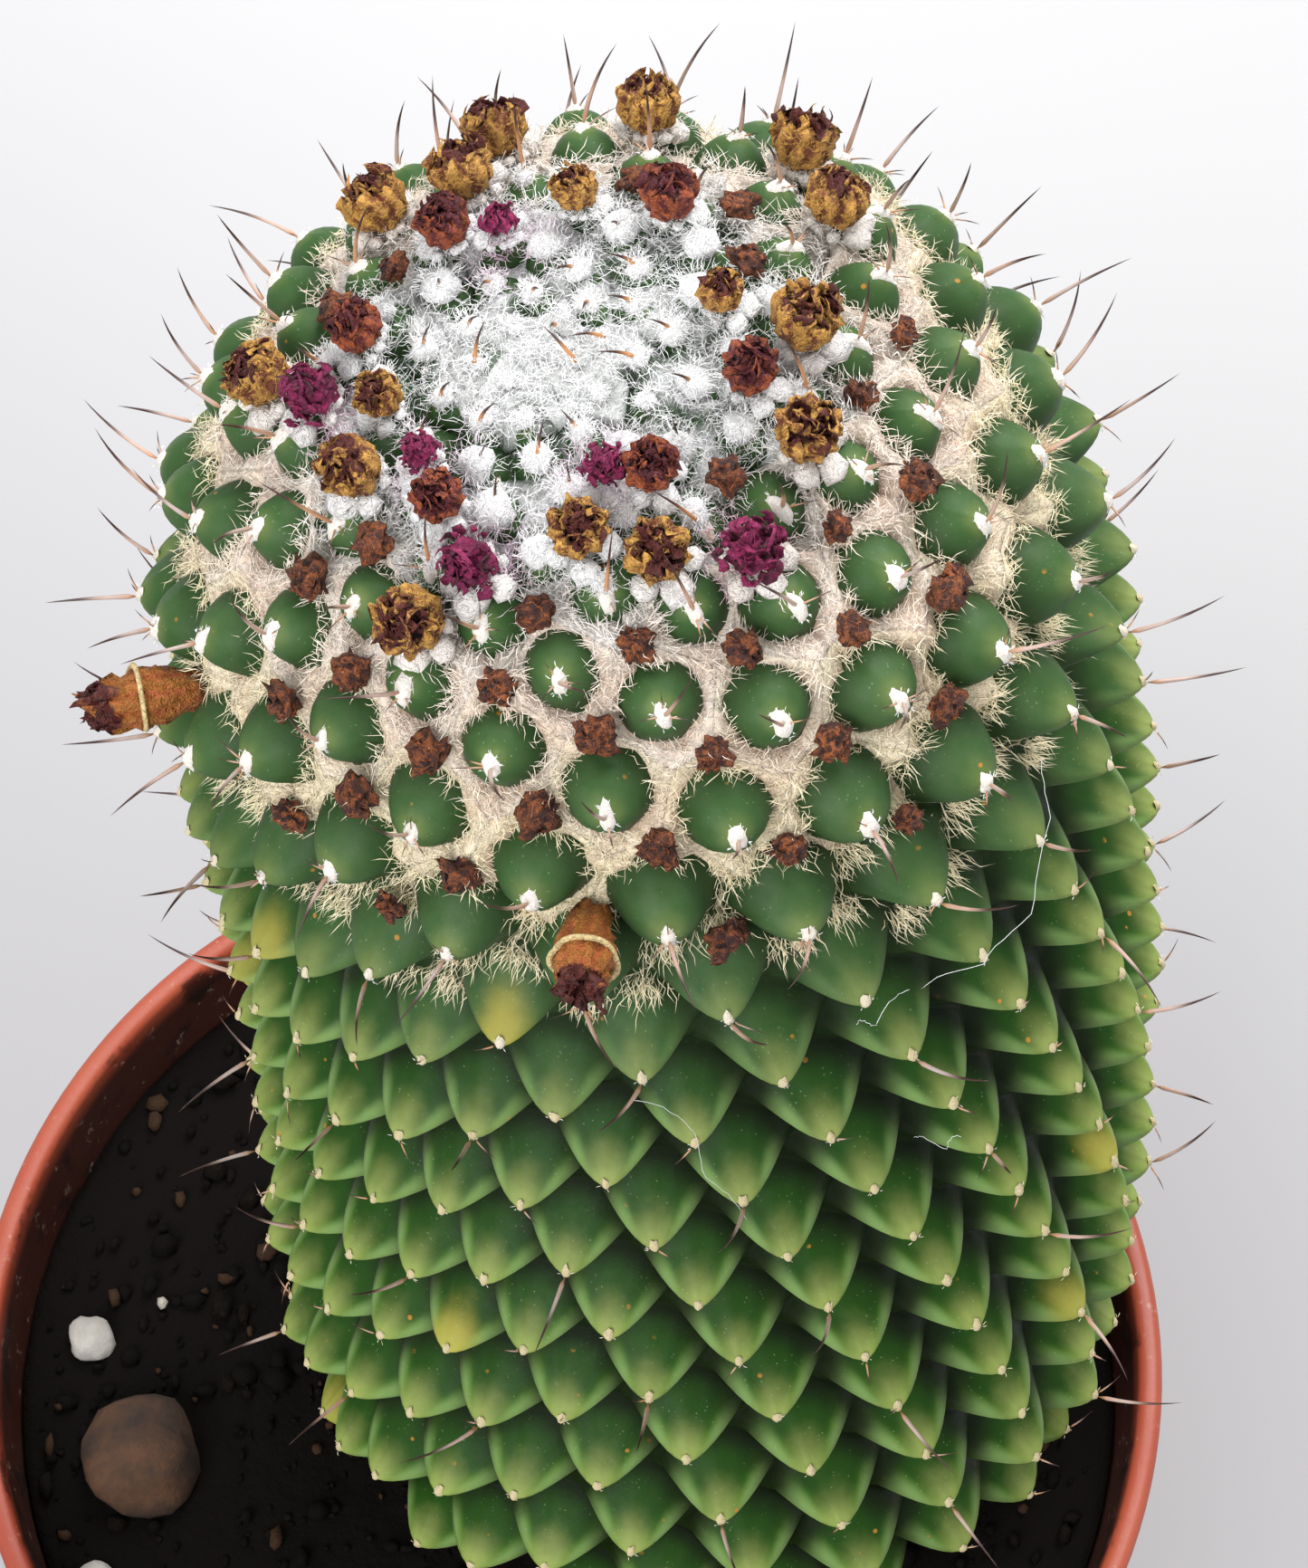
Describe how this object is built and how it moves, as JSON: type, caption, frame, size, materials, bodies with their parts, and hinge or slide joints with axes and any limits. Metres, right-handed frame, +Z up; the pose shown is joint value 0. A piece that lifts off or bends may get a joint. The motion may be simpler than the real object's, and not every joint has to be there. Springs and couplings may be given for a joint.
{
  "type": "potted cactus",
  "caption": "Leaning columnar mammillaria in a round plastic nursery pot: spiral tubercles with spines, a woolly crown, and a ring of dried flowers.",
  "frame": {"origin": "centre of the flat underside of the pot, on the surface it stands on", "axes": "+Z up through the pot and the plant; -Y towards the viewer of the picture, the crown leaning towards -X"},
  "size_m": [0.1345, 0.1412, 0.3066],
  "materials": {
    "clay_stone": "porous orange-brown expanded clay",
    "dried_bud": "crisp ribbed golden brown with a dark torn top",
    "dried_fruit": "dry orange-brown skin with a pale ring",
    "flower_remains": "dark red-brown crumbs of old flowers",
    "pale_stone": "rough pale grey stone",
    "pot": "satin red-brown terracotta-coloured plastic",
    "soil": "dark crumbly potting mix",
    "stem": "waxy green skin, paler at the tubercle tips",
    "withered_flower": "crumpled magenta petals",
    "wool": "fine tangled wool, white at the crown and cream below"
  },
  "bodies": {
    "root": {"dried_bud_01": "dried_bud", "dried_bud_02": "dried_bud", "dried_bud_03": "dried_bud", "dried_bud_04": "dried_bud", "dried_bud_05": "dried_bud", "dried_bud_06": "dried_bud", "dried_bud_07": "dried_bud", "dried_bud_08": "dried_bud", "dried_bud_09": "dried_bud", "dried_bud_10": "dried_bud", "dried_bud_11": "dried_bud", "dried_bud_12": "dried_bud", "dried_bud_13": "dried_bud", "dried_bud_14": "dried_bud", "dried_bud_15": "dried_bud", "dried_bud_16": "dried_bud", "dried_bud_17": "dried_bud", "dried_bud_18": "dried_bud", "dried_bud_19": "dried_bud", "dried_bud_20": "dried_bud", "dried_bud_21": "dried_bud", "dried_bud_22": "dried_bud", "dried_fruit_01": "dried_fruit", "dried_fruit_02": "dried_fruit", "flower_remains_01": "flower_remains", "flower_remains_02": "flower_remains", "flower_remains_03": "flower_remains", "flower_remains_04": "flower_remains", "flower_remains_05": "flower_remains", "flower_remains_06": "flower_remains", "flower_remains_07": "flower_remains", "flower_remains_08": "flower_remains", "flower_remains_09": "flower_remains", "flower_remains_10": "flower_remains", "flower_remains_11": "flower_remains", "flower_remains_12": "flower_remains", "flower_remains_13": "flower_remains", "flower_remains_14": "flower_remains", "flower_remains_15": "flower_remains", "flower_remains_16": "flower_remains", "flower_remains_17": "flower_remains", "flower_remains_18": "flower_remains", "flower_remains_19": "flower_remains", "flower_remains_20": "flower_remains", "flower_remains_21": "flower_remains", "flower_remains_22": "flower_remains", "pot": "pot", "soil": "soil", "stem": "stem", "stone_01": "clay_stone", "stone_02": "pale_stone", "stone_03": "pale_stone", "stone_04": "pale_stone", "withered_flower_01": "withered_flower", "withered_flower_02": "withered_flower", "withered_flower_03": "withered_flower", "withered_flower_04": "withered_flower", "withered_flower_05": "withered_flower", "withered_flower_06": "withered_flower", "wool": "wool"}
  },
  "joints": []
}
